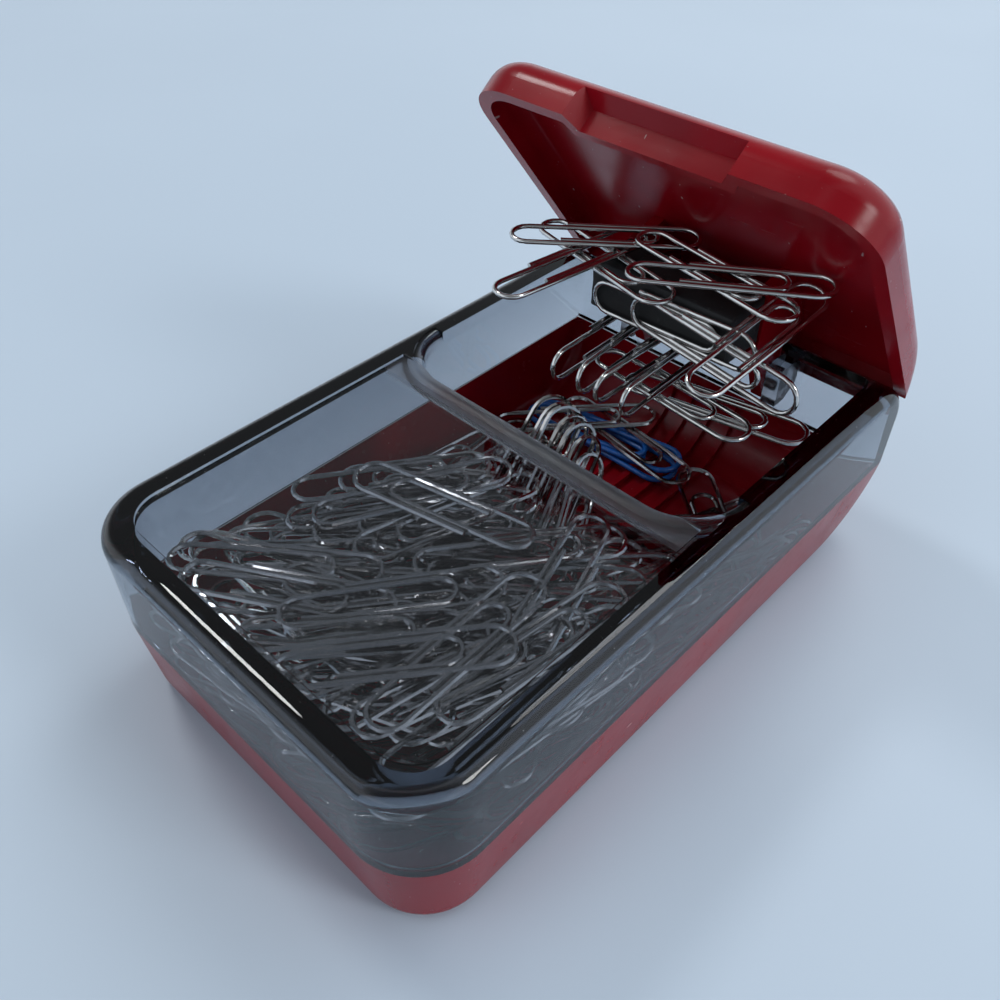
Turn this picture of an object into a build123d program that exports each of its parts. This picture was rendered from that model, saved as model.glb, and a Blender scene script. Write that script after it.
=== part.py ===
"""Magnetic paper clip holder: red tray, smoke cover and a flip lid that carries a bar magnet.

Millimetres, +Z up, +Y to the hinge at the rear, origin on the table under the middle of the tray.
The lid is drawn shut and then swung open, because the holder rests with its lid open.
"""
import os
from math import atan2, cos, degrees, radians, sin

from build123d import *

os.makedirs("parts", exist_ok=True)

# Body
body_width = 61.0
body_length = 97.0
foot_height = 0.5
seam_height = 13.5
rim_height = 28.0
front_corner = 9.5
edge_round = 2.0
wall = 2.1
rear_wall = 3.2
floor_top = 2.6
draft = 6.0
half_width = body_width / 2
front_y = -body_length / 2
rear_y = body_length / 2
inner_half = half_width - wall
inner_front = front_y + wall
inner_rear = rear_y - rear_wall
inner_corner = front_corner - wall
far = 2 * body_length
small = 0.01

# Fits
part_gap = 0.3
running_gap = 0.05
lid_gap = 0.35

# Tray details
inner_rear_round = 10.0
inner_floor_round = 2.0
floor_rib_width = 1.0
floor_rib_height = 1.0
floor_rib_start = rear_y - 28.5
rib_root = 0.8
floor_rib_spots = (-6.0, -2.0, 2.0, 6.0)
tongue_width = 0.5
tongue_height = 0.4
tongue_play = 0.05

# Foot pads
pad_diameter = 7.0
pad_thickness = 1.0
pad_recess = pad_thickness - foot_height
pad_side = half_width - 10.5
pad_front = front_y + 13.5
pad_rear = rear_y - 22.5

# Cover details: the walls are thin at the seam and as wide as the rim at the top
rim_width = 4.1
panel_thickness = 2.2
panel_recess = 0.4
panel_under = rim_height - panel_thickness
wall_lean = degrees(atan2(rim_width - wall, panel_under - seam_height))
opening_half = half_width - rim_width
panel_front = front_y + rim_width
opening_front = 2.4
opening_rear = inner_rear - 1.1
opening_corner = 8.0
opening_rear_corner = 1.5
bead_radius = 1.8
bead_sink = 0.1

# Hinge: the rear top edge of the cover is a quarter round about the pivot
knuckle = 6.1
pivot_y = rear_y - knuckle
pivot_z = rim_height - knuckle
open_angle = 52.0
hinge_axis = Axis((0, pivot_y, pivot_z), (1, 0, 0))
arm_inside = 10.2
arm_thickness = 1.9
rib_inside = arm_inside + arm_thickness + part_gap
rib_thickness = 2.4
rib_reach = 2.5
rib_front = pivot_y - rib_reach
rib_bottom = pivot_z - rib_reach
pin_radius = 0.9
pin_skin = 1.2

# Lid, drawn shut
lid_lap = 6.0
lid_front = opening_front - lid_lap
lid_under = rim_height + lid_gap
lid_height = 6.6
lid_wall = 2.0
lid_corner = 8.5
lid_edge_round = 4.0
lid_rear_curve = 18.0
lid_curve_start = rear_y - 14.6
lid_top = lid_under + lid_height
lid_roof = lid_top - lid_wall
skirt_inner = knuckle + lid_gap
side_end_angle = 75.0
skirt_end_angle = 50.0
skirt_half = half_width - 4.0
thumb_width = 24.5
thumb_depth = 2.8
thumb_height = 5.0
thumb_roof = 1.8
thumb_slope = 1.6
thumb_wall = 1.4
hollow_end_angle = 56.0
lid_low_angle = 16.0

# Magnet, drawn in the open lid
magnet_length = 24.0
magnet_depth = 8.7
magnet_height = 7.9
magnet_rear = pivot_y - 6.5
magnet_front = magnet_rear - magnet_depth
magnet_bottom = pivot_z + 9.5
magnet_top = magnet_bottom + magnet_height
magnet_edge = 0.5
arm_lip = 2.8
arm_lip_thickness = 1.5
arm_tip = 2.8
arm_tip_round = 0.5
arm_heel = 1.6
arm_roof_rear = pivot_y - 1.9
arm_roof_front = pivot_y - 14.4

# Paper clips
clip_length = 28.0
clip_width = 6.3
clip_wire = 0.75
coated_length = 29.0
coated_width = 7.2
coated_wire = 0.95
wire_gap = 0.1
turn_chords = 5
clip_layer = 0.87
coated_layer = 1.07
lay_gap = 0.06
heap_layers = 12
heap_rows = 3
heap_pitch = 8.0
heap_x = 0.0
heap_y = front_y + 25.5
heap_yaw = 45.0
heap_swing = 22.0
heap_step = 2.4
heap_drift = 3.0
coated_side = 17.9 - inner_half
coated_y = inner_rear - 16.3
coated_spots = ((0.6, 2.5, 0.0), (0.6, 2.0, 10.0))
magnet_top_spots = ((-10.0, 0.3, -13.0), (-12.0, -4.6, 82.0), (-12.3, 3.1, 39.0), (6.0, 3.8, -9.0),
                    (9.0, 2.8, 30.0))
magnet_hang_spots = ((-8.2, 1.3, 90.0), (-4.0, 1.3, 92.0), (0.2, 1.3, 88.0), (4.1, 1.3, 91.0))
magnet_low_spots = ((5.0, -1.2, -5.0), (11.0, 1.5, 12.0))


def polar(radius, angle):
    """Point at a radius and angle about the pivot, in the side view."""
    return (pivot_y + radius * cos(radians(angle)), pivot_z + radius * sin(radians(angle)))


def opened(y, z):
    """Where a point of the shut lid lies once the lid is open, in the side view."""
    turn = radians(open_angle)
    reach = y - pivot_y
    rise = z - pivot_z
    return (pivot_y + reach * cos(turn) + rise * sin(turn),
            pivot_z - reach * sin(turn) + rise * cos(turn))


def rear_curve_point(radius, angle):
    """Point at an angle on a curve that has the centre of the lid's rear curve."""
    return (lid_curve_start + radius * cos(radians(angle)),
            lid_top - lid_rear_curve + radius * sin(radians(angle)))


def below_lid(x, end_angle):
    """Side view of all that lies below the lid: mouth plane, then a curve about the pivot, then a cut."""
    with BuildSketch(Plane.YZ.offset(x)) as below:
        with BuildLine():
            Polyline((pivot_y, lid_under), (lid_front - lid_wall, lid_under), (lid_front - lid_wall, 0),
                     (far, 0), polar(far, end_angle), polar(skirt_inner, end_angle))
            CenterArc((pivot_y, pivot_z), skirt_inner, end_angle, 90 - end_angle)
        make_face()
    return below.sketch


def lid_top_edges(builder, half, front, top):
    """Upper outer edges of a lid shape: front, front corners, sides and the curve at the rear."""
    return builder.edges().filter_by(
        lambda e: (abs(e.center().X) > half - small and e.center().Z > top - lid_wall)
        or (e.center().Z > top - small and e.center().Y < front + lid_corner - small))


def plan_outline(height, half, front, rear, front_radius, rear_radius=0.0):
    """Rectangle seen from above with its own rounding at the front and at the rear."""
    with BuildSketch(Plane.XY.offset(height)) as outline:
        with Locations((0, (front + rear) / 2)):
            Rectangle(2 * half, rear - front)
        if front_radius:
            fillet(outline.vertices().group_by(Axis.Y)[0], front_radius)
        if rear_radius:
            fillet(outline.vertices().group_by(Axis.Y)[-1], rear_radius)
    return outline.sketch


def ring_outline(height, inset, width):
    """Narrow band that runs round the seam, a distance inside the outer face."""
    outer = half_width - inset
    ahead = front_y + inset
    behind = rear_y - inset + wall - rear_wall
    with BuildSketch(Plane.XY.offset(height)) as ring:
        add(plan_outline(0, outer, ahead, behind, front_corner - inset, edge_round / 2))
        add(plan_outline(0, outer - width, ahead + width, behind - width,
                         front_corner - inset - width, edge_round / 4), mode=Mode.SUBTRACT)
    return ring.sketch


def rear_curve(bottom, rear, radius):
    """Side view of the lower half with a rounded rear underside."""
    with BuildSketch(Plane.YZ) as side:
        with Locations((rear - far / 2, bottom + far / 2)):
            Rectangle(far, far)
        lower = side.vertices().group_by(Axis.Y)[0]
        fillet(lower.sort_by(Axis.X)[-1], radius)
    return side.sketch


def tapered_block(half, front, corner):
    """Block below the seam whose sides lean in towards the bottom."""
    with BuildPart() as block:
        extrude(plan_outline(-seam_height, half, front, far / 2, corner), amount=seam_height, taper=draft)
        mirror(about=Plane.XY, mode=Mode.REPLACE)
    return block.part


def lower_edges(builder, bottom):
    """Edges round the bottom of a tray shape, with the two curved ones at the rear."""
    low = builder.edges().filter_by(lambda e: e.center().Z < seam_height - edge_round)
    return low.filter_by(
        lambda e: (e.center().Z < bottom + small and e.center().Y < pad_rear)
        or (e.center().Y > pad_rear and e.geom_type != GeomType.LINE))


def thumb_plan(grow):
    """Outline of the thumb recess seen from above, or of its wall when grown: the ends slant."""
    ahead = lid_front + grow / 2
    back = lid_front + thumb_depth + grow
    half = thumb_width / 2 + grow
    with BuildSketch(Plane.XY.offset(lid_under)) as plan:
        Polygon((-half, ahead), (half, ahead), (half - thumb_slope, back),
                (thumb_slope - half, back), align=None)
    return plan.sketch


def clip_solid(length, width, wire):
    """One gem clip, flat on XY about the origin: three half turns of wire in chords."""
    pitch = wire + wire_gap
    outer = (width - wire) / 2
    middle = outer - pitch / 2
    inner = outer - pitch
    reach = (length - wire) / 2
    turns = [
        (reach - outer, 0.0, outer, 90.0),
        (middle - reach, -pitch / 2, middle, -90.0),
        (0.27 * length - inner, 0.0, inner, 90.0),
    ]
    points = [(-0.2 * length, outer)]
    for turn_x, turn_y, radius, start in turns:
        for step in range(turn_chords + 1):
            angle = radians(start - 180.0 * step / turn_chords)
            points.append((turn_x + radius * cos(angle), turn_y + radius * sin(angle)))
    points.append((-0.23 * length, -inner))
    with BuildPart() as clip:
        with BuildLine() as path:
            Polyline(*points)
        with BuildSketch(Plane(origin=(*points[0], 0), z_dir=(1, 0, 0))):
            RegularPolygon(wire / 2, 6)
        sweep(path=path.line, transition=Transition.RIGHT)
    return clip.part


# Shapes used to cut others
with BuildPart() as tray_hollow:
    add(tapered_block(inner_half, inner_front, inner_corner))
    extrude(rear_curve(floor_top, inner_rear, inner_rear_round), amount=far, both=True,
            mode=Mode.INTERSECT)
    fillet(lower_edges(tray_hollow, floor_top), inner_floor_round)

with BuildPart() as cover_hollow:
    extrude(plan_outline(seam_height, inner_half, inner_front, far / 2, inner_corner),
            amount=panel_under - seam_height, taper=wall_lean)
    extrude(rear_curve(floor_top, inner_rear, inner_rear_round), amount=far, both=True,
            mode=Mode.INTERSECT)

with BuildPart() as rear_ribs:
    with BuildSketch(Plane.YZ):
        with Locations((floor_rib_start, floor_top - rib_root)):
            Rectangle(inner_rear - floor_rib_start + rib_root, seam_height - floor_top,
                      align=(Align.MIN, Align.MIN))
    extrude(amount=floor_rib_width / 2, both=True)
    extrude(rear_curve(floor_top - rib_root, inner_rear + rib_root, inner_rear_round + rib_root),
            amount=far, both=True, mode=Mode.INTERSECT)
    extrude(rear_curve(floor_top + floor_rib_height, inner_rear - floor_rib_height,
                       inner_rear_round - floor_rib_height), amount=far, both=True, mode=Mode.SUBTRACT)

# Tray
with BuildPart() as base_tray:
    add(tapered_block(half_width, front_y, front_corner))
    extrude(rear_curve(foot_height, rear_y, seam_height - foot_height), amount=far, both=True,
            mode=Mode.INTERSECT)
    fillet(lower_edges(base_tray, foot_height), edge_round)
    add(tray_hollow.part, mode=Mode.SUBTRACT)
    with Locations([(x, 0, 0) for x in floor_rib_spots]):
        add(rear_ribs.part)
    extrude(ring_outline(seam_height, wall - tongue_width, tongue_width), amount=tongue_height)
    with BuildSketch(Plane.XY.offset(foot_height)):
        with Locations([(x, y) for x in (-pad_side, pad_side) for y in (pad_front, pad_rear)]):
            Circle(pad_diameter / 2 + running_gap)
    extrude(amount=pad_recess, mode=Mode.SUBTRACT)
base_tray.part.label = "base_tray"
export_step(base_tray.part, "parts/base_tray.step")

# Foot pads
for side_name, x in (("left", -pad_side), ("right", pad_side)):
    for end_name, y in (("front", pad_front), ("rear", pad_rear)):
        with BuildPart() as foot_pad:
            with BuildSketch():
                with Locations((x, y)):
                    Circle(pad_diameter / 2)
            extrude(amount=pad_thickness)
            chamfer(foot_pad.edges().group_by(Axis.Z)[0], pad_recess / 2)
        foot_pad.part.label = f"foot_pad_{end_name}_{side_name}"
        export_step(foot_pad.part, f"parts/{foot_pad.part.label}.step")

# Cover
with BuildPart() as smoke_cover:
    with BuildSketch(Plane.YZ):
        with BuildLine():
            Polyline((pivot_y, rim_height), (front_y, rim_height), (front_y, seam_height),
                     (rear_y, seam_height), (rear_y, pivot_z))
            CenterArc((pivot_y, pivot_z), knuckle, 0, 90)
        make_face()
    extrude(amount=half_width, both=True)
    front_edges = smoke_cover.edges().filter_by(Axis.Z).group_by(Axis.Y)[0]
    fillet(front_edges, front_corner)
    side_edges = smoke_cover.edges().filter_by(
        lambda e: abs(e.center().X) > half_width - small
        and e.center().Z > seam_height + small and e.center().Y > front_y + front_corner + small)
    front_top = smoke_cover.edges().filter_by(
        lambda e: e.center().Z > rim_height - small and e.center().Y < front_y + front_corner)
    fillet(side_edges + front_top, edge_round)
    # Inside of the walls, up to the panel
    add(cover_hollow.part, mode=Mode.SUBTRACT)
    # Shallow recess of the panel
    extrude(plan_outline(rim_height, opening_half, panel_front + part_gap, opening_front,
                         front_corner - rim_width - part_gap), amount=-panel_recess, mode=Mode.SUBTRACT)
    # Opening, cut wider at the front where the bead goes in
    corner_y = opening_front + opening_corner
    corner_x = opening_half - opening_corner
    bead_turn = opening_corner + bead_radius
    bead_z = rim_height - bead_radius - bead_sink
    extrude(plan_outline(rim_height + wall, opening_half, corner_y, opening_rear, 0, opening_rear_corner),
            amount=-panel_thickness - wall, mode=Mode.SUBTRACT)
    extrude(plan_outline(rim_height + wall, opening_half + bead_radius, opening_front - bead_radius,
                         corner_y, bead_turn), amount=-panel_thickness - wall, mode=Mode.SUBTRACT)
    # Round bead along the front of the opening, running into the side rims
    with BuildLine() as bead_path:
        CenterArc((-corner_x, corner_y, bead_z), bead_turn, 180, 90)
        Line((-corner_x, corner_y - bead_turn, bead_z), (corner_x, corner_y - bead_turn, bead_z))
        CenterArc((corner_x, corner_y, bead_z), bead_turn, 270, 90)
    with BuildSketch(Plane(origin=(-opening_half - bead_radius, corner_y, bead_z), z_dir=(0, -1, 0))):
        Circle(bead_radius)
    sweep(path=bead_path.line)
    # Hinge ribs inside the rear wall
    for rib_x in (rib_inside, -rib_inside - rib_thickness):
        with BuildSketch(Plane.YZ.offset(rib_x)):
            Polygon((rib_front, panel_under), (rib_front, rib_bottom), (pivot_y, rib_bottom),
                    (inner_rear + rib_root, pivot_z), (inner_rear + rib_root, panel_under), align=None)
        extrude(amount=rib_thickness)
    with BuildSketch(Plane.YZ):
        with Locations((pivot_y, pivot_z)):
            Circle(pin_radius)
    extrude(amount=rib_inside + rib_thickness - pin_skin, both=True, mode=Mode.SUBTRACT)
    # Step that takes the tray's tongue
    step_width = tongue_width + tongue_play
    extrude(ring_outline(seam_height, wall - step_width, step_width + part_gap),
            amount=tongue_height + tongue_play, mode=Mode.SUBTRACT)
smoke_cover.part.label = "smoke_cover"
export_step(smoke_cover.part, "parts/smoke_cover.step")

# Lid
with BuildPart() as lid_hollow:
    with BuildSketch(Plane.YZ):
        with BuildLine():
            hollow_end = rear_curve_point(lid_rear_curve - lid_wall, hollow_end_angle)
            Polyline((lid_curve_start, lid_roof), (lid_front + lid_wall, lid_roof),
                     (lid_front + lid_wall, lid_under - lid_wall), (hollow_end[0], lid_under - lid_wall),
                     hollow_end)
            CenterArc((lid_curve_start, lid_top - lid_rear_curve), lid_rear_curve - lid_wall,
                      90, hollow_end_angle - 90)
        make_face()
    extrude(amount=half_width - lid_wall, both=True)
    fillet(lid_hollow.edges().filter_by(Axis.Z).group_by(Axis.Y)[0], lid_corner - lid_wall)
    fillet(lid_top_edges(lid_hollow, half_width - lid_wall, lid_front + lid_wall, lid_roof),
           lid_edge_round - lid_wall)

with BuildPart() as thumb_recess:
    extrude(thumb_plan(0.0), amount=lid_height)
    with BuildSketch(Plane.YZ):
        thumb_back = lid_front + thumb_depth
        thumb_top = lid_under + thumb_height
        Polygon((lid_front, lid_under), (lid_front, thumb_top), (thumb_back, thumb_top - thumb_roof),
                (thumb_back, lid_under), align=None)
    extrude(amount=half_width, both=True, mode=Mode.INTERSECT)

with BuildPart() as lid:
    with BuildSketch(Plane.YZ):
        with BuildLine():
            low_end = rear_curve_point(lid_rear_curve, lid_low_angle)
            Polyline((lid_curve_start, lid_top), (lid_front, lid_top), (lid_front, low_end[1]), low_end)
            RadiusArc(low_end, (lid_curve_start, lid_top), -lid_rear_curve)
        make_face()
    extrude(amount=half_width, both=True)
    fillet(lid.edges().filter_by(Axis.Z).group_by(Axis.Y)[0], lid_corner)
    fillet(lid_top_edges(lid, half_width, lid_front, lid_top), lid_edge_round)
    add(lid_hollow.part, mode=Mode.SUBTRACT)
    # Mouth, and the skirt that swings round the rear edge of the cover
    extrude(below_lid(0, skirt_end_angle), amount=half_width, both=True, mode=Mode.SUBTRACT)
    for side in (-1, 1):
        extrude(below_lid(side * skirt_half, side_end_angle), amount=side * (half_width - skirt_half),
                mode=Mode.SUBTRACT)
    # Thumb recess with its own wall behind it
    extrude(thumb_plan(thumb_wall), amount=lid_roof - lid_under)
    add(thumb_recess.part, mode=Mode.SUBTRACT)
lid_open = lid.part.rotate(hinge_axis, -open_angle)
lid_open.label = "lid"
export_step(lid_open, "parts/lid.step")

# Arms under the lid, drawn with the lid open
for side_name, arm_x in (("left", -arm_inside - arm_thickness), ("right", arm_inside)):
    with BuildPart() as hinge_arm:
        with BuildSketch(Plane.YZ.offset(arm_x)):
            Polygon((pivot_y, pivot_z - arm_tip), (pivot_y + arm_heel, pivot_z - arm_heel / 4),
                    (opening_rear - part_gap, rim_height + lid_gap),
                    opened(arm_roof_rear, lid_roof - lid_wall / 4),
                    opened(arm_roof_front, lid_roof + lid_wall / 2),
                    (magnet_rear, magnet_top), (magnet_rear, magnet_bottom),
                    (magnet_rear - arm_lip, magnet_bottom),
                    (magnet_rear - arm_lip, magnet_bottom - arm_lip_thickness),
                    (magnet_rear, magnet_bottom - arm_lip_thickness),
                    (pivot_y - arm_heel, pivot_z - arm_tip), align=None)
        extrude(amount=arm_thickness)
        fillet(hinge_arm.edges().filter_by(Axis.X).group_by(Axis.Z)[0], arm_tip_round)
        with BuildSketch(Plane.YZ.offset(arm_x)):
            with Locations((pivot_y, pivot_z)):
                Circle(pin_radius + running_gap)
        extrude(amount=arm_thickness, mode=Mode.SUBTRACT)
        add(lid_open, mode=Mode.SUBTRACT)
    hinge_arm.part.label = f"hinge_arm_{side_name}"
    export_step(hinge_arm.part, f"parts/{hinge_arm.part.label}.step")

# Hinge pins, pressed into the ribs and hidden in them
for side_name, side in (("left", -1), ("right", 1)):
    with BuildPart() as hinge_pin:
        with BuildSketch(Plane.YZ.offset(side * arm_inside)):
            with Locations((pivot_y, pivot_z)):
                Circle(pin_radius)
        extrude(amount=side * (rib_inside + rib_thickness - pin_skin - arm_inside))
    hinge_pin.part.label = f"hinge_pin_{side_name}"
    export_step(hinge_pin.part, f"parts/{hinge_pin.part.label}.step")

# Magnet
with BuildPart() as magnet_bar:
    with BuildSketch(Plane.YZ):
        with Locations(((magnet_front + magnet_rear) / 2, (magnet_bottom + magnet_top) / 2)):
            Rectangle(magnet_rear - magnet_front, magnet_top - magnet_bottom)
    extrude(amount=magnet_length / 2, both=True)
    chamfer(magnet_bar.edges().filter_by(Axis.X), magnet_edge)
magnet_bar.part.label = "magnet_bar"
export_step(magnet_bar.part, "parts/magnet_bar.step")

# Paper clips
plain_clip = clip_solid(clip_length, clip_width, clip_wire)
coated_clip = clip_solid(coated_length, coated_width, coated_wire)

with BuildPart() as clips_in_tray:
    heap = []
    for layer in range(heap_layers):
        yaw = heap_yaw + heap_swing * sin(heap_step * layer)
        height = floor_top + clip_wire / 2 + lay_gap + layer * clip_layer
        for row in range(heap_rows):
            shift = (row - (heap_rows - 1) / 2) * heap_pitch
            heap.append(Location((heap_x + heap_drift * cos(heap_step * layer) - shift * sin(radians(yaw)),
                                  heap_y + heap_drift * sin(heap_step * layer) + shift * cos(radians(yaw)),
                                  height), (0, 0, yaw)))
    with Locations(*heap):
        add(plain_clip)
clips_in_tray.part.label = "clips_in_tray"
export_step(clips_in_tray.part, "parts/clips_in_tray.step")

with BuildPart() as coated_clips:
    stack = []
    for layer, (along, behind, yaw) in enumerate(coated_spots):
        height = floor_top + floor_rib_height + coated_wire / 2 + lay_gap + layer * coated_layer
        stack.append(Location((coated_side + along, coated_y + behind, height), (0, 0, yaw)))
    with Locations(*stack):
        add(coated_clip)
coated_clips.part.label = "coated_clips"
export_step(coated_clips.part, "parts/coated_clips.step")

with BuildPart() as clips_on_magnet:
    bunch = []
    for layer, (x, behind, yaw) in enumerate(magnet_top_spots):
        height = magnet_top + clip_wire / 2 + lay_gap + layer * clip_layer
        bunch.append(Location((x, magnet_front + behind, height), (0, 0, yaw)))
    # Clips that hang on edge below the bar, and clips that lie flat below those
    on_edge = Location((0, 0, 0), (90, 0, 0))
    for x, behind, yaw in magnet_hang_spots:
        height = magnet_bottom - clip_width / 2 - lay_gap
        bunch.append(Location((x, magnet_front + behind, height), (0, 0, yaw)) * on_edge)
    for layer, (x, behind, yaw) in enumerate(magnet_low_spots):
        height = magnet_bottom - clip_width - clip_wire / 2 - 2 * lay_gap - layer * clip_layer
        bunch.append(Location((x, magnet_front + behind, height), (0, 0, yaw)))
    with Locations(*bunch):
        add(plain_clip)
clips_on_magnet.part.label = "clips_on_magnet"
export_step(clips_on_magnet.part, "parts/clips_on_magnet.step")
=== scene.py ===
"""Magnetic paper clip holder: moulded finishes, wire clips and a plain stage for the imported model."""
from math import cos, pi, radians, sin
from random import Random

import bpy
from bpy.props import FloatProperty, FloatVectorProperty, IntProperty, PointerProperty
from mathutils import Euler, Matrix, Vector


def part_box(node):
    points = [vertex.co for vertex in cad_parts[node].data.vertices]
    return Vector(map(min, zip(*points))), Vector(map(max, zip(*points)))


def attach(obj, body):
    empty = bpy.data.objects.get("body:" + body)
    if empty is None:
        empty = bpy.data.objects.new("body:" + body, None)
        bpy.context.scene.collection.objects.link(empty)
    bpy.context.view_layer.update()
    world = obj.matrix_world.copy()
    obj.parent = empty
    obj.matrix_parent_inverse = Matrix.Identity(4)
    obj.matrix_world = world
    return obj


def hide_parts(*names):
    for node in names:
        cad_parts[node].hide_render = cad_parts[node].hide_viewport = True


bl_info = {
    "name": "Magnetic Paper Clip Holder",
    "version": (1, 0, 0),
    "blender": (4, 5, 0),
    "location": "View3D > Sidebar > Clip Holder",
    "description": "Gives the holder its finishes and fills it with wire clips",
    "category": "Object",
}

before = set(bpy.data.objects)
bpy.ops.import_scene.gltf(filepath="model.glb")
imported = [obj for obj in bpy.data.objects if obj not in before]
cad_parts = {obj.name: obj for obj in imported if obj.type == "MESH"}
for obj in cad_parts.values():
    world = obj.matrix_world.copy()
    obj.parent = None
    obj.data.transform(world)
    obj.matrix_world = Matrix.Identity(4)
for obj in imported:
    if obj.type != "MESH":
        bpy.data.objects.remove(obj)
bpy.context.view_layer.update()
MM = 0.001

# Frosted places of the cover: the bead along the opening and the hinge ribs
BEAD_DEPTH = (-1.4 * MM, 2.7 * MM)
BEAD_UNDER = 23.9 * MM
BEAD_HALF = 26.3 * MM
RIB_ACROSS = (12.15 * MM, 15.05 * MM)
RIB_FRONT = 39.5 * MM
RIB_TOP = 25.75 * MM
FROST_EDGE = 0.3 * MM

# Room for the heap: walls that lean in above the seam, and a slope at the rear
TRAY_FLOOR = 2.7 * MM
TRAY_WALL = 3.6 * MM
TRAY_CORNER = 6.5 * MM
SEAM_HEIGHT = 14 * MM
WALL_LEAN = 0.17
HEAP_ACROSS = (-25, 26)
HEAP_ALONG = (-44, 10)
HEAP_REAR = 11 * MM
SLOPE_FOOT = 16.5 * MM
SLOPE_LEAN = 0.6
LAYER_PITCH = 1.13
ALIGNED_SHARE = 0.88

# Lane in which the longest clip of the bunch swings in, and how far back the heap may reach there
LANE = (-17 * MM, -6 * MM)
LANE_STEP = 6 * MM
LANE_REAR_LOW = 8.5 * MM
LANE_REAR_HIGH = 3 * MM

# Worn surface of the magnet bar
EDGE_WEAR = 0.45 * MM
GRAIN_SIZE = 1.6 * MM
GRAIN_DEPTH = 0.22 * MM
GRAIN_CUTS = 6


class ClipSizes(bpy.types.PropertyGroup):
    """Sizes of the paper clips and of the heap in the tray."""

    length: FloatProperty(name="Length", description="Length of a plain clip",
                          default=28 * MM, min=10 * MM, subtype="DISTANCE", unit="LENGTH")
    width: FloatProperty(name="Width", description="Width of a plain clip",
                         default=6.3 * MM, min=3 * MM, subtype="DISTANCE", unit="LENGTH")
    wire: FloatProperty(name="Wire", description="Diameter of the plain wire",
                        default=0.75 * MM, min=0.3 * MM, subtype="DISTANCE", unit="LENGTH")
    coated_length: FloatProperty(name="Coated length", description="Length of a coated clip",
                                 default=29 * MM, min=10 * MM, subtype="DISTANCE", unit="LENGTH")
    coated_width: FloatProperty(name="Coated width", description="Width of a coated clip",
                                default=7.2 * MM, min=3 * MM, subtype="DISTANCE", unit="LENGTH")
    coated_wire: FloatProperty(name="Coated wire", description="Diameter of the wire with its coating",
                               default=0.95 * MM, min=0.3 * MM, subtype="DISTANCE", unit="LENGTH")
    sides: IntProperty(name="Sides", description="Sides of the wire", default=8, min=5, max=16)
    heap_sides: IntProperty(name="Heap sides", description="Sides of the wire in the heap", default=6, min=5,
                            max=16)
    layers: IntProperty(name="Layers", description="Layers of clips in the heap", default=22, min=1, max=23)
    tries: IntProperty(name="Tries", description="Clips that are dropped on each layer", default=160, min=1)
    lie: FloatProperty(name="Lie", description="Direction in which most clips of the heap lie",
                       default=radians(45), subtype="ANGLE", unit="ROTATION")
    spread: FloatProperty(name="Spread", description="How far clips turn from that direction",
                          default=radians(17), subtype="ANGLE", unit="ROTATION")
    tilt: FloatProperty(name="Tilt", description="How far clips tip out of their layer",
                        default=radians(2), subtype="ANGLE", unit="ROTATION")


class FinishColours(bpy.types.PropertyGroup):
    """Colours of the holder's finishes."""

    red: FloatVectorProperty(name="Red", description="Moulded red plastic", size=3, subtype="COLOR",
                             min=0, max=1, default=(0.28, 0.003, 0.009))
    deep_red: FloatVectorProperty(name="Deep red", description="Red plastic where it is thick",
                                  size=3, subtype="COLOR", min=0, max=1, default=(0.225, 0.002, 0.007))
    smoke: FloatVectorProperty(name="Smoke", description="Colour that the smoke plastic lets through",
                               size=3, subtype="COLOR", min=0, max=1, default=(0.42, 0.462, 0.515))
    glaze: FloatVectorProperty(name="Glaze", description="Surface of the smoke plastic", size=3,
                               subtype="COLOR", min=0, max=1, default=(0.93, 0.95, 0.98))
    smoke_depth: FloatProperty(name="Smoke depth", default=260, min=0,
                               description="How fast the smoke plastic darkens, per metre")
    steel: FloatVectorProperty(name="Steel", description="Bright drawn wire", size=3, subtype="COLOR",
                               min=0, max=1, default=(0.62, 0.61, 0.6))
    blue: FloatVectorProperty(name="Blue", description="Coating of the coloured clips", size=3,
                              subtype="COLOR", min=0, max=1, default=(0.012, 0.13, 0.5))
    ferrite: FloatVectorProperty(name="Ferrite", description="Magnet bar", size=3, subtype="COLOR",
                                 min=0, max=1, default=(0.009, 0.0092, 0.01))
    rubber: FloatVectorProperty(name="Rubber", description="Foot pads", size=3, subtype="COLOR",
                                min=0, max=1, default=(0.03, 0.03, 0.033))
    dust: FloatVectorProperty(name="Dust", description="Dust and lint on the plastic", size=3,
                              subtype="COLOR", min=0, max=1, default=(0.6, 0.57, 0.55))


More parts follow.
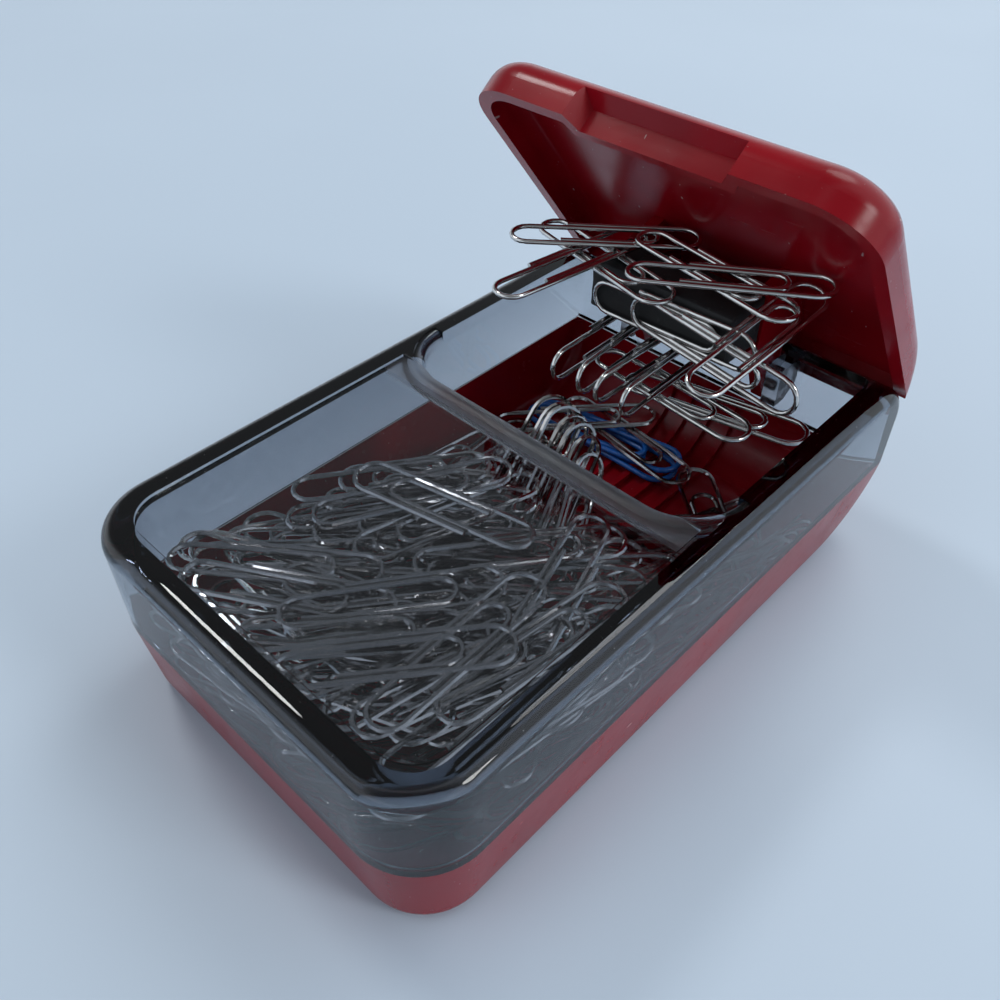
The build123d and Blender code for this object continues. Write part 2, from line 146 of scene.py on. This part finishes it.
class StageSettings(bpy.types.PropertyGroup):
    """Camera, floor and lamps."""

    camera_place: FloatVectorProperty(name="Camera", description="Where the camera stands", size=3,
                                      subtype="XYZ", unit="LENGTH",
                                      default=(65.05 * MM, -72.57 * MM, 108.83 * MM))
    camera_aim: FloatVectorProperty(name="Aim", description="Direction in which the camera looks", size=3,
                                    subtype="DIRECTION", default=(-0.5044, 0.5266, -0.6843))
    lens: FloatProperty(name="Lens", description="Focal length of the camera", default=34.6, min=10,
                        subtype="DISTANCE_CAMERA", unit="CAMERA")
    sensor: FloatProperty(name="Sensor", description="Width of the camera's sensor", default=36, min=1,
                          subtype="DISTANCE_CAMERA", unit="CAMERA")
    near: FloatProperty(name="Near", description="Nearest distance that the camera sees", default=5 * MM,
                        min=MM, subtype="DISTANCE", unit="LENGTH")
    floor: FloatVectorProperty(name="Floor", description="Colour of the floor", size=3, subtype="COLOR",
                               min=0, max=1, default=(0.56, 0.67, 0.78))
    floor_size: FloatProperty(name="Floor size", description="Side of the square floor", default=4, min=0.5,
                              subtype="DISTANCE", unit="LENGTH")
    sky: FloatVectorProperty(name="Sky", description="Colour of the even light", size=3, subtype="COLOR",
                             min=0, max=1, default=(0.86, 0.92, 1.0))
    sky_strength: FloatProperty(name="Sky strength", description="Strength of the even light",
                                default=1.15, min=0)
    flag: FloatVectorProperty(name="Flag", description="Direction of the dark screen at the upper left",
                              size=3, subtype="DIRECTION", default=(-0.55, 0.2, 0.81))
    flag_edge: FloatVectorProperty(name="Flag edge", description="Where that screen begins and is full",
                                   size=2, min=0, max=1, default=(0.64, 0.9))
    front_edge: FloatVectorProperty(name="Front edge", description="The same for the screen round the camera",
                                    size=2, min=0, max=1, default=(0.62, 0.9))
    flag_light: FloatProperty(name="Flag light", description="Share of the even light that passes a screen",
                              default=0.2, min=0, max=1, subtype="FACTOR")
    lamp_aim: FloatVectorProperty(name="Lamp aim", description="Point that the lamps face", size=3,
                                  subtype="XYZ", unit="LENGTH", default=(0, 0, 20 * MM))
    rear_place: FloatVectorProperty(name="Rear place", description="Where the lamp behind stands", size=3,
                                    subtype="XYZ", unit="LENGTH", default=(-0.07, 0.5, 0.74))
    rear_size: FloatProperty(name="Rear size", description="Diameter of the lamp behind", default=0.4,
                             min=0.01, subtype="DISTANCE", unit="LENGTH")
    rear_power: FloatProperty(name="Rear power", description="Power of the lamp behind", default=1.3,
                              min=0, subtype="POWER", unit="POWER")
    left_place: FloatVectorProperty(name="Left place", description="Where the lamp at the left stands",
                                    size=3, subtype="XYZ", unit="LENGTH", default=(-0.57, 0.03, 0.78))
    left_size: FloatProperty(name="Left size", description="Diameter of the lamp at the left", default=0.2,
                             min=0.01, subtype="DISTANCE", unit="LENGTH")
    left_power: FloatProperty(name="Left power", description="Power of the lamp at the left", default=1.5,
                              min=0, subtype="POWER", unit="POWER")
    right_place: FloatVectorProperty(name="Right place", description="Where the lamp at the right stands",
                                     size=3, subtype="XYZ", unit="LENGTH", default=(0.66, 0.16, 0.5))
    right_size: FloatProperty(name="Right size", description="Diameter of the lamp at the right",
                              default=0.24, min=0.01, subtype="DISTANCE", unit="LENGTH")
    right_power: FloatProperty(name="Right power", description="Power of the lamp at the right", default=1.4,
                               min=0, subtype="POWER", unit="POWER")


class Value:
    """A number in a shader. Python's operators on it add Math nodes."""

    def __init__(self, finish, socket):
        self.finish = finish
        self.socket = socket

    def math(self, operation, *numbers):
        """Result of a Math node on numbers and values."""
        return self.finish.node("ShaderNodeMath", {"operation": operation}, dict(enumerate(numbers)))

    def __add__(self, other):
        return self.math("ADD", self, other)

    def __radd__(self, other):
        return self.math("ADD", other, self)

    def __sub__(self, other):
        return self.math("SUBTRACT", self, other)

    def __rsub__(self, other):
        return self.math("SUBTRACT", other, self)

    def __mul__(self, other):
        return self.math("MULTIPLY", self, other)

    def __rmul__(self, other):
        return self.math("MULTIPLY", other, self)

    def band(self, low, high):
        """0 below one number, 1 above the other and a soft step between them."""
        return self.finish.node("ShaderNodeMapRange", {"interpolation_type": "SMOOTHSTEP"},
                                {"Value": self, "From Min": low, "From Max": high})

    def past(self, place, soft):
        """1 above a place and 0 below it, with a soft edge."""
        return self.band(place - soft, place + soft)

    def between(self, low, high, soft):
        """1 between two places and 0 outside them, with soft edges."""
        return self.past(low, soft) * (1 - self.past(high, soft))


class Finish:
    """One material, or the world, whose nodes are added by type, settings and sockets."""

    def __init__(self, owner):
        owner.use_nodes = True
        self.owner = owner
        self.tree = owner.node_tree
        self.tree.nodes.clear()

    def node(self, kind, settings=None, sockets=None, output=0):
        """Adds a node and returns one of its outputs."""
        made = self.tree.nodes.new(kind)
        for key, setting in (settings or {}).items():
            setattr(made, key, setting)
        for key, value in (sockets or {}).items():
            if isinstance(value, Value):
                self.tree.links.new(value.socket, made.inputs[key])
            else:
                made.inputs[key].default_value = value
        return Value(self, made.outputs[output]) if made.outputs else made

    def place(self, scale=(1, 1, 1)):
        """Object coordinates, stretched along the axes."""
        coordinates = self.node("ShaderNodeTexCoord", output="Object")
        return self.node("ShaderNodeMapping", {"vector_type": "POINT"},
                         {"Vector": coordinates, "Scale": scale})

    def part(self, axis):
        """One of the object coordinates, in metres."""
        return self.node("ShaderNodeSeparateXYZ", None, {"Vector": self.place()}, output=axis)

    def noise(self, scale, detail=3.0, stretch=(1, 1, 1), rough=0.5):
        """Noise with cells of about one over the scale, in metres."""
        return self.node("ShaderNodeTexNoise", None, {
            "Vector": self.place(stretch), "Scale": scale, "Detail": detail, "Roughness": rough})

    def mix(self, factor, first, second):
        """Colour between two colours."""
        ends = [end if isinstance(end, Value) else (*end, 1) for end in (first, second)]
        sockets = {0: factor, 6: ends[0], 7: ends[1]}
        return self.node("ShaderNodeMix", {"data_type": "RGBA"}, sockets, output=2)

    def bump(self, height, strength, distance):
        """Normal of a surface with that relief."""
        return self.node("ShaderNodeBump", None,
                         {"Height": height, "Strength": strength, "Distance": distance})

    def principled(self, sockets):
        """Shader of a plastic, metal or rubber."""
        return self.node("ShaderNodeBsdfPrincipled", None, sockets)

    def surface(self, shader, volume=None):
        """Ends the material."""
        sockets = {"Surface": shader}
        if volume is not None:
            sockets["Volume"] = volume
        self.node("ShaderNodeOutputMaterial", None, sockets)
        return self.owner


def new_finish(name):
    """A new material without nodes."""
    return Finish(bpy.data.materials.new(name))


def toned(colour, tone, lift=0.0):
    """A colour made darker or lighter, and lifted towards white."""
    return tuple(tone * part + lift for part in colour)


def red_finish():
    """Glossy moulded red with a faint flow in its colour, dust specks and fine rub marks."""
    colours = bpy.context.scene.holder_colours
    finish = new_finish("moulded_red")
    flow = finish.noise(60, 2).band(0.35, 0.7)
    specks = finish.noise(3200, 2, rough=0.6).band(0.75, 0.785)
    lint = finish.noise(1900, 1, stretch=(1, 0.12, 0.4)).band(0.79, 0.81)
    rubs = finish.noise(700, 4, stretch=(0.06, 1, 1)).band(0.5, 0.75)
    smears = finish.noise(90, 3).band(0.4, 0.75)
    dust = specks.math("MAXIMUM", specks, lint)
    plastic = finish.mix(flow, colours.deep_red, colours.red)
    roughness = 0.2 + 0.08 * smears + 0.05 * rubs + 0.35 * dust
    relief = finish.noise(1500, 2) + 1.5 * dust
    return finish.surface(finish.principled({
        "Base Color": finish.mix(dust * 0.55, plastic, colours.dust),
        "Roughness": roughness, "IOR": 1.48, "Specular IOR Level": 0.26,
        "Normal": finish.bump(relief, 0.06, 0.0001)}))


def smoke_finish():
    """Clear smoke plastic that darkens with its thickness, duller on the bead and on the hinge ribs."""
    colours = bpy.context.scene.holder_colours
    finish = new_finish("smoke_plastic_clear")
    smudges = finish.noise(70, 4).band(0.45, 0.8)
    specks = finish.noise(2400, 2).band(0.75, 0.78)
    rubs = finish.noise(600, 3, stretch=(1, 0.05, 1)).band(0.55, 0.8)
    across, depth, height = (finish.part(axis) for axis in "XYZ")
    across = across.math("ABSOLUTE", across)
    bead = (depth.between(*BEAD_DEPTH, FROST_EDGE) * height.past(BEAD_UNDER, FROST_EDGE)
            * (1 - across.past(BEAD_HALF, FROST_EDGE)))
    ribs = (across.between(*RIB_ACROSS, FROST_EDGE / 2) * depth.past(RIB_FRONT, FROST_EDGE)
            * (1 - height.past(RIB_TOP, FROST_EDGE)))
    frosted = ribs.math("MAXIMUM", ribs, 1.5 * bead)
    clear = finish.principled({
        "Base Color": finish.mix(specks * 0.4, colours.glaze, colours.dust),
        "Roughness": 0.004 + 0.02 * smudges + 0.015 * rubs + 0.3 * specks + 0.3 * frosted,
        "IOR": 1.5, "Transmission Weight": 1.0,
        "Normal": finish.bump(finish.noise(120, 2), 0.02, 0.0004)})
    smoke = finish.node("ShaderNodeVolumeAbsorption", None, {
        "Color": (*colours.smoke, 1), "Density": colours.smoke_depth})
    return finish.surface(clear, smoke)


def steel_finish(name, tone):
    """Drawn steel: bright, a little dull in patches, with marks from the bending."""
    colours = bpy.context.scene.holder_colours
    finish = new_finish(name)
    dull = finish.noise(350, 4).band(0.4, 0.75)
    drawn = finish.noise(5000, 2, stretch=(0.1, 1, 1))
    # A tone below 1 gives a darker copy of the same steel; the heap's wire uses this as painted shade.
    bright = toned(colours.steel, tone)
    return finish.surface(finish.principled({
        "Base Color": finish.mix(dull * 0.6, bright, toned(bright, 0.7)),
        "Metallic": 1.0, "Roughness": 0.07 + 0.1 * dull + 0.05 * drawn,
        "Normal": finish.bump(drawn, 0.04, 0.00005)}))


def coated_finish():
    """Blue vinyl over the wire, slightly wavy and rubbed."""
    colours = bpy.context.scene.holder_colours
    finish = new_finish("blue_vinyl")
    wave = finish.noise(900, 2)
    rubbed = finish.noise(500, 4).band(0.55, 0.8)
    return finish.surface(finish.principled({
        "Base Color": finish.mix(rubbed * 0.4, colours.blue, toned(colours.blue, 0.6, 0.05)),
        "Roughness": 0.25 + 0.25 * rubbed, "IOR": 1.5, "Coat Weight": 0.3, "Coat Roughness": 0.1,
        "Normal": finish.bump(wave, 0.08, 0.0001)}))


def ferrite_finish():
    """Sintered ferrite: dark, grainy, with paler chips."""
    colours = bpy.context.scene.holder_colours
    finish = new_finish("sintered_ferrite")
    grain = finish.noise(4200, 3, rough=0.7)
    chips = finish.noise(800, 3).band(0.62, 0.7)
    cloud = finish.noise(160, 3)
    dark = colours.ferrite
    base = finish.mix(cloud.band(0.35, 0.7), dark, toned(dark, 1.5))
    return finish.surface(finish.principled({
        "Base Color": finish.mix(chips * 0.5, base, toned(dark, 2.6)),
        "Roughness": 0.55 + 0.25 * grain - 0.12 * chips, "IOR": 1.45,
        "Normal": finish.bump(grain + 2.0 * chips, 0.25, 0.0001)}))


def rubber_finish():
    """Matt rubber with a fine mould texture and a dusty bloom."""
    colours = bpy.context.scene.holder_colours
    finish = new_finish("matt_rubber")
    grain = finish.noise(3000, 2)
    bloom = finish.noise(250, 3).band(0.45, 0.8)
    return finish.surface(finish.principled({
        "Base Color": finish.mix(bloom * 0.3, colours.rubber, colours.dust),
        "Roughness": 0.6 + 0.25 * bloom, "Normal": finish.bump(grain, 0.2, 0.0001)}))


def floor_finish():
    """Pale floor with a very faint unevenness."""
    stage = bpy.context.scene.holder_stage
    finish = new_finish("pale_floor")
    cloud = finish.noise(7, 3).band(0.3, 0.7)
    return finish.surface(finish.principled({
        "Base Color": finish.mix(cloud, stage.floor, toned(stage.floor, 0.97)),
        "Roughness": 0.42 + 0.06 * cloud}))


def dress(names, material):
    """Puts a material on CAD nodes that keep their shape."""
    for name in names:
        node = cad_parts.get(name)
        if node is None:
            raise RuntimeError(f"the packed model has no node {name}")
        node.material_slots[0].material = material


def start_piece():
    """Nothing selected and object mode, before a primitive is added."""
    if bpy.context.mode != "OBJECT":
        bpy.ops.object.mode_set(mode="OBJECT")
    bpy.ops.object.select_all(action="DESELECT")


def finish_piece(piece, name, material, body, nodes):
    """Names a finished piece, gives it its material and ties it to its body and nodes."""
    piece.name = name
    piece.data.name = name
    piece.data.materials.clear()
    piece.data.materials.append(material)
    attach(piece, body)
    if nodes:
        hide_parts(*nodes)


def bend_clip(length, width, wire, sides):
    """A paper clip bent from a ring of wire: straight runs are extruded and half turns are spun."""
    pitch = wire + 0.1 * MM
    outer = (width - wire) / 2
    middle = outer - pitch / 2
    inner = outer - pitch
    reach = (length - wire) / 2
    first_end = -0.2 * length
    inner_end = 0.27 * length
    last_run = 0.5 * length
    start_piece()
    bpy.ops.mesh.primitive_circle_add(vertices=sides, radius=wire / 2, fill_type="NGON",
                                      location=(first_end, outer, 0), rotation=(0, pi / 2, 0))
    bpy.ops.object.transform_apply(location=True, rotation=True, scale=True)
    bpy.ops.object.mode_set(mode="EDIT")
    bpy.ops.mesh.select_all(action="SELECT")
    turns = ((reach - outer, 0, 9, reach - outer - first_end),
             (middle - reach, -pitch / 2, 8, outer + middle - 2 * reach),
             (inner_end - inner, 0, 7, inner_end - inner - middle + reach))
    for turn_x, turn_y, steps, run in turns:
        bpy.ops.mesh.extrude_region_move(TRANSFORM_OT_translate={"value": (run, 0, 0)})
        bpy.ops.mesh.spin(steps=steps, angle=pi, center=(turn_x, turn_y, 0), axis=(0, 0, 1))
    bpy.ops.mesh.extrude_region_move(TRANSFORM_OT_translate={"value": (inner - last_run, 0, 0)})
    bpy.ops.mesh.select_all(action="SELECT")
    bpy.ops.mesh.remove_doubles(threshold=0.01 * MM)
    bpy.ops.mesh.normals_make_consistent(inside=False)
    bpy.ops.object.mode_set(mode="OBJECT")
    bpy.ops.object.shade_smooth_by_angle(angle=radians(50))
    return bpy.context.object


def lay_clips(clip, places):
    """Copies a clip to each place and joins the copies into one piece. The first clip is used up."""
    copies = []
    for place in places:
        copy = clip.copy()
        copy.data = clip.data.copy()
        copy.matrix_world = place
        bpy.context.collection.objects.link(copy)
        copies.append(copy)
    bpy.data.objects.remove(clip)
    start_piece()
    for copy in copies:
        copy.select_set(True)
    bpy.context.view_layer.objects.active = copies[0]
    bpy.ops.object.transform_apply(location=True, rotation=True, scale=True)
    bpy.ops.object.join()
    return bpy.context.object


def place_at(x, y, z, yaw, pitch=0.0, roll=0.0):
    """Place of a clip in millimetres and degrees: rolled about its length, pitched, then turned."""
    turn = Euler((radians(roll), radians(pitch), radians(yaw)), "XYZ").to_matrix().to_4x4()
    return Matrix.Translation(Vector((x, y, z)) * MM) @ turn


def heap_rear(x, z):
    """How far back the heap may reach, so that the bunch on the magnet swings in clear of it."""
    slope = SLOPE_FOOT - SLOPE_LEAN * z
    if LANE[0] < x < LANE[1]:
        return min(slope, LANE_REAR_LOW if z < LANE_STEP else LANE_REAR_HIGH)
    return min(slope, HEAP_REAR)


def fits_tray(spot, yaw, clips, low, high):
    """True if a clip at that spot stays between the walls and in front of the heap's rear slope."""
    along = Vector((cos(yaw), sin(yaw))) * (clips.length - clips.width) / 2
    wall = TRAY_WALL + WALL_LEAN * max(spot.z - SEAM_HEIGHT, 0)
    round_room = TRAY_CORNER - clips.width / 2
    for turn in (spot.xy + along, spot.xy - along):
        side = abs(turn.x) + clips.width / 2 - (high.x - wall)
        front = low.y + wall + clips.width / 2 - turn.y
        if max(side, front) > 0:
            return False
        for edge in (turn.x - clips.width / 2, turn.x + clips.width / 2):
            if turn.y + clips.width / 2 > heap_rear(edge, spot.z):
                return False
        near = Vector((max(side + round_room, 0), max(front + round_room, 0)))
        if near.length > round_room:
            return False
    return True


def apart(spot, yaw, other, other_yaw, clips):
    """True if two clips of one layer lie beside each other."""
    for axis in (yaw, yaw + pi / 2, other_yaw, other_yaw + pi / 2):
        gap = abs((spot.x - other.x) * cos(axis) + (spot.y - other.y) * sin(axis))
        for turn in (yaw - axis, other_yaw - axis):
            gap -= (clips.length * abs(cos(turn)) + clips.width * abs(sin(turn))) / 2
        if gap > 0:
            return True
    return False


def heap_places(clips):
    """Clips dropped on each layer of the heap where they find room, most of them in one direction."""
    dice = Random(11)
    low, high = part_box("base_tray")
    places = []
    for layer in range(clips.layers):
        height = TRAY_FLOOR + clips.wire / 2 + layer * LAYER_PITCH * clips.wire
        laid = []
        for _ in range(clips.tries):
            aligned = dice.random() < ALIGNED_SHARE
            yaw = dice.gauss(clips.lie, clips.spread) if aligned else dice.uniform(0, pi)
            spot = Vector((dice.uniform(*HEAP_ACROSS) * MM, dice.uniform(*HEAP_ALONG) * MM, height))
            clear = all(apart(spot, yaw, *other, clips) for other in laid)
            if clear and fits_tray(spot, yaw, clips, low, high):
                laid.append((spot, yaw))
        for spot, yaw in laid:
            tips = dice.gauss(0, clips.tilt), dice.gauss(0, clips.tilt)
            turn = Euler((*tips, yaw + pi * dice.randint(0, 1)), "XYZ")
            places.append(Matrix.Translation(spot) @ turn.to_matrix().to_4x4())
    if not places:
        raise RuntimeError("no clip fits in the tray")
    return places


class HOLDER_OT_tray(bpy.types.Operator):
    """Red finish of the tray"""

    bl_idname = "holder.tray"
    bl_label = "Tray"

    def execute(self, context):
        dress(["base_tray"], red_finish())
        return {"FINISHED"}


class HOLDER_OT_cover(bpy.types.Operator):
    """See-through finish of the cover"""

    bl_idname = "holder.cover"
    bl_label = "Smoke cover"

    def execute(self, context):
        dress(["smoke_cover"], smoke_finish())
        return {"FINISHED"}


class HOLDER_OT_lid(bpy.types.Operator):
    """Red finish of the lid and of the arms that carry it"""

    bl_idname = "holder.lid"
    bl_label = "Lid and arms"

    def execute(self, context):
        dress(["lid", "hinge_arm_left", "hinge_arm_right"], red_finish())
        return {"FINISHED"}


class HOLDER_OT_pins(bpy.types.Operator):
    """Steel finish of the hinge pins"""

    bl_idname = "holder.pins"
    bl_label = "Hinge pins"

    def execute(self, context):
        dress(["hinge_pin_left", "hinge_pin_right"], steel_finish("turned_steel", 0.8))
        return {"FINISHED"}


class HOLDER_OT_magnet(bpy.types.Operator):
    """Magnet bar with broken edges"""

    bl_idname = "holder.magnet"
    bl_label = "Magnet bar"

    def execute(self, context):
        low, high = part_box("magnet_bar")
        start_piece()
        bpy.ops.mesh.primitive_cube_add(size=1, location=(low + high) / 2, scale=high - low)
        bpy.ops.object.transform_apply(location=True, rotation=True, scale=True)
        bar = context.object
        bpy.ops.object.mode_set(mode="EDIT")
        bpy.ops.mesh.select_all(action="SELECT")
        bpy.ops.mesh.bevel(offset=EDGE_WEAR, segments=2, affect="EDGES")
        bpy.ops.mesh.select_all(action="SELECT")
        bpy.ops.mesh.subdivide(number_cuts=GRAIN_CUTS)
        bpy.ops.object.mode_set(mode="OBJECT")
        grain = bpy.data.textures.new("ferrite_grain", "CLOUDS")
        grain.noise_scale = GRAIN_SIZE
        worn = bar.modifiers.new("worn", "DISPLACE")
        worn.texture = grain
        worn.strength = GRAIN_DEPTH
        worn.mid_level = 1.0
        bpy.ops.object.modifier_apply(modifier="worn")
        bpy.ops.object.shade_smooth_by_angle(angle=radians(35))
        finish_piece(bar, "ferrite_bar", ferrite_finish(), "flip_lid", ["magnet_bar"])
        return {"FINISHED"}


class HOLDER_OT_pads(bpy.types.Operator):
    """Rubber finish of the foot pads"""

    bl_idname = "holder.pads"
    bl_label = "Foot pads"

    def execute(self, context):
        dress([f"foot_pad_{end}_{side}" for end in ("front", "rear") for side in ("left", "right")],
              rubber_finish())
        return {"FINISHED"}


class HOLDER_OT_heap(bpy.types.Operator):
    """Heap of plain clips in the tray"""

    bl_idname = "holder.heap"
    bl_label = "Clips in the tray"

    def execute(self, context):
        clips = context.scene.holder_clips
        clip = bend_clip(clips.length, clips.width, clips.wire, clips.heap_sides)
        strays = [
            place_at(15, 27, 3.2, 62), place_at(19.5, 29, 4.1, 96), place_at(16, 26, 5, 70),
            place_at(17, 24.5, 5.9, 140), place_at(14, 20, 6.8, 48), place_at(-20, 10, 3.2, 70),
            place_at(-17, 13.5, 4.1, 120), place_at(-20.5, 11, 5, 95), place_at(4, 12, 3.2, 25),
            place_at(-6, 32, 6.2, -8), place_at(-15, 29.5, 7, 48), place_at(-19.5, -2, 6, 78),
            place_at(-20, -8, 7.5, 72), place_at(-20, -10, 9, 95), place_at(-19.5, -10, 10.5, 66),
            place_at(-21, 2, 8.4, 88, 4), place_at(-19, -14, 12, 74), place_at(2, 13.5, 4.1, -10),
            place_at(9, 13, 5, 38), place_at(13, 10, 6, 14), place_at(11, 12, 4.1, -12),
            place_at(20.5, 10, 6.9, 82), place_at(-1, 9, 5, 32), place_at(18, 7, 7.4, 74),
        ]
        front = [
            place_at(13, -29.5, 20.4, 80), place_at(17.5, -28.5, 21.2, 74), place_at(9, -31, 19.6, 66, 2),
            place_at(20.5, -29.5, 19.4, 88), place_at(15, -27, 22.2, 92), place_at(4, -34, 21, 48),
            place_at(-1, -36, 19.8, 40), place_at(11, -33, 22.4, 52), place_at(-7, -34.5, 20.6, 30),
            place_at(21, -21, 21.6, 84), place_at(-12, -33, 19.2, 20), place_at(7, -38, 18.8, 22),
        ]
        leaning = [
            place_at(-4.4, 3.2, 16.4, 80, -56, 66), place_at(-2.8, 3, 15.9, 84, -54, 70),
            place_at(-1, 2.8, 16.2, 88, -57, 67), place_at(0.8, 2.4, 15.5, 92, -53, 71),
            place_at(2.6, 2.2, 15.1, 95, -52, 68), place_at(4.6, 1.6, 14.2, 99, -49, 72),
            place_at(7.5, 1, 12.4, 112, -42, 60),
        ]
        heap = lay_clips(clip, heap_places(clips) + strays + front + leaning)
        # Painted shade: the heap's wire is the bunch's steel made darker (tone 0.85 against 1.0) to stand in
        # for the shade on the clips in the tray under the cover.
        finish_piece(heap, "clip_heap", steel_finish("heap_wire_painted_shade", 0.85), "box",
                     ["clips_in_tray"])
        return {"FINISHED"}


class HOLDER_OT_coated(bpy.types.Operator):
    """Blue coated clips on the ribs of the tray"""

    bl_idname = "holder.coated"
    bl_label = "Coated clips"

    def execute(self, context):
        clips = context.scene.holder_clips
        clip = bend_clip(clips.coated_length, clips.coated_width, clips.coated_wire, clips.sides)
        places = [place_at(-9.9, 31.5, 4.15, 0), place_at(-9.9, 31, 5.2, 10)]
        coated = lay_clips(clip, places)
        finish_piece(coated, "blue_clips", coated_finish(), "box", ["coated_clips"])
        return {"FINISHED"}


class HOLDER_OT_bunch(bpy.types.Operator):
    """Bunch of plain clips that hangs on the magnet"""

    bl_idname = "holder.bunch"
    bl_label = "Clips on the magnet"

    def execute(self, context):
        clips = context.scene.holder_clips
        clip = bend_clip(clips.length, clips.width, clips.wire, clips.sides)
        places = [
            place_at(-10, 27.5, 39.75, -13), place_at(-12, 22.6, 40.6, 82), place_at(-12.3, 30.3, 41.5, 39),
            place_at(6, 31, 42.35, -9, 1), place_at(9, 30, 43.2, 30, -2),
            place_at(-8.2, 28.5, 28.15, 90, 0, 90), place_at(-4, 28.5, 28.15, 92, 0, 86),
            place_at(0.2, 28.5, 28.15, 88, 0, 93), place_at(4.1, 28.5, 28.15, 91, 0, 88),
            place_at(5, 26, 24.55, -5), place_at(11, 28.7, 23.7, 12),
            place_at(3, 26.7, 35.2, 0, -2, 90), place_at(10.5, 25.8, 34.2, 0, 8, 90),
            place_at(15.7, 27.9, 38.1, 87, -7, 12),
        ]
        bunch = lay_clips(clip, places)
        finish_piece(bunch, "clip_bunch", steel_finish("bunch_wire", 1.0), "flip_lid",
                     ["clips_on_magnet"])
        return {"FINISHED"}


class HOLDER_OT_stage(bpy.types.Operator):
    """Floor, lamps, even light and camera"""

    bl_idname = "holder.stage"
    bl_label = "Stage"

    def execute(self, context):
        scene = context.scene
        stage = scene.holder_stage
        start_piece()
        bpy.ops.mesh.primitive_plane_add(size=stage.floor_size, location=(0, 0, 0))
        floor = context.object
        floor.name = "floor"
        floor.data.materials.append(floor_finish())
        lamps = (("rear_lamp", stage.rear_place, stage.rear_size, stage.rear_power),
                 ("left_lamp", stage.left_place, stage.left_size, stage.left_power),
                 ("right_lamp", stage.right_place, stage.right_size, stage.right_power))
        for name, place, size, power in lamps:
            bpy.ops.object.light_add(type="AREA", location=place)
            lamp = context.object
            lamp.name = name
            lamp.data.shape = "DISK"
            lamp.data.size = size
            lamp.data.energy = power
            lamp.rotation_euler = (stage.lamp_aim - place).to_track_quat("-Z", "Y").to_euler()
        world = Finish(bpy.data.worlds.new("even_light"))
        looking = world.node("ShaderNodeTexCoord", output="Generated")
        facings = ((Vector(stage.flag), stage.flag_edge), (-Vector(stage.camera_aim), stage.front_edge))
        screens = [world.node("ShaderNodeVectorMath", {"operation": "DOT_PRODUCT"}, {0: looking, 1: facing},
                              output="Value").band(*edge) for facing, edge in facings]
        screened = screens[0].math("MAXIMUM", *screens)
        strength = stage.sky_strength * (1 - (1 - stage.flag_light) * screened)
        even = world.node("ShaderNodeBackground", None, {"Color": (*stage.sky, 1), "Strength": strength})
        world.node("ShaderNodeOutputWorld", None, {"Surface": even})
        scene.world = world.owner
        bpy.ops.object.camera_add(location=stage.camera_place)
        camera = context.object
        camera.rotation_euler = Vector(stage.camera_aim).to_track_quat("-Z", "Y").to_euler()
        camera.data.lens = stage.lens
        camera.data.sensor_width = stage.sensor
        camera.data.clip_start = stage.near
        scene.camera = camera
        scene.view_settings.view_transform = "Standard"
        return {"FINISHED"}


class HOLDER_PT_panel(bpy.types.Panel):
    """Lists the holder's pieces"""

    bl_idname = "HOLDER_PT_panel"
    bl_label = "Clip Holder"
    bl_space_type = "VIEW_3D"
    bl_region_type = "UI"
    bl_category = "Clip Holder"

    def draw(self, context):
        for operator in OPERATORS:
            self.layout.operator(operator.bl_idname)


OPERATORS = (HOLDER_OT_tray, HOLDER_OT_cover, HOLDER_OT_lid, HOLDER_OT_pins, HOLDER_OT_magnet, HOLDER_OT_pads,
             HOLDER_OT_heap, HOLDER_OT_coated, HOLDER_OT_bunch, HOLDER_OT_stage)
GROUPS = {"holder_clips": ClipSizes, "holder_colours": FinishColours, "holder_stage": StageSettings}


def register():
    """Adds the settings, operators and panel to Blender."""
    for made in (*GROUPS.values(), *OPERATORS, HOLDER_PT_panel):
        bpy.utils.register_class(made)
    for name, group in GROUPS.items():
        setattr(bpy.types.Scene, name, PointerProperty(type=group))


def unregister():
    """Takes them out again."""
    for name in GROUPS:
        delattr(bpy.types.Scene, name)
    for made in (HOLDER_PT_panel, *reversed(OPERATORS), *reversed(GROUPS.values())):
        bpy.utils.unregister_class(made)


def main():
    """Builds the holder and its stage."""
    register()
    bpy.ops.holder.tray()
    bpy.ops.holder.cover()
    bpy.ops.holder.lid()
    bpy.ops.holder.pins()
    bpy.ops.holder.magnet()
    bpy.ops.holder.pads()
    bpy.ops.holder.heap()
    bpy.ops.holder.coated()
    bpy.ops.holder.bunch()
    bpy.ops.holder.stage()


if __name__ == "__main__":
    main()
